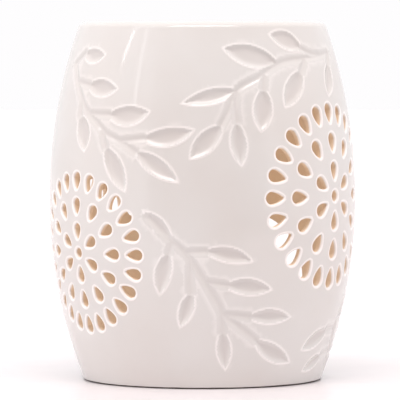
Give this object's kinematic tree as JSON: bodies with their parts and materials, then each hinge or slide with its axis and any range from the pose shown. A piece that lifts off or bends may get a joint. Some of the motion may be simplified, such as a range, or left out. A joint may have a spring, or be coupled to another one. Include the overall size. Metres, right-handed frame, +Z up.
{
  "type": "essential oil burner",
  "caption": "Glazed ceramic barrel oil burner with pierced flowers and pressed leaf sprays, an arched rear door, a lift-out oil dish and a tealight on its floor.",
  "frame": {"origin": "centre of the foot ring's underside, on the barrel's axis", "axes": "+Z up along the barrel's axis, +Y out through the arched door, the pierced front faces -Y"},
  "size_m": [0.1026, 0.1026, 0.12],
  "materials": {
    "white_glaze": "gloss",
    "dish_glaze": "gloss",
    "cup_aluminium": "satin",
    "candle_wax": "satin",
    "sustainer_steel": "satin",
    "wick_cotton": "matt"
  },
  "bodies": {
    "burner": {"burner_body": "white_glaze"},
    "dish": {"oil_dish": "dish_glaze"},
    "tealight": {"tealight_cup": "cup_aluminium", "tealight_wax": "candle_wax", "wick_sustainer": "sustainer_steel", "wick": "wick_cotton"}
  },
  "joints": [
    {"name": "dish_lift", "type": "slide", "parent": "burner", "child": "dish", "axis": [0, 0, 1], "range_m": [0, 0.05]},
    {"name": "tealight_slide", "type": "slide", "parent": "burner", "child": "tealight", "axis": [0, 1, 0], "range_m": [0, 0.085]}
  ]
}
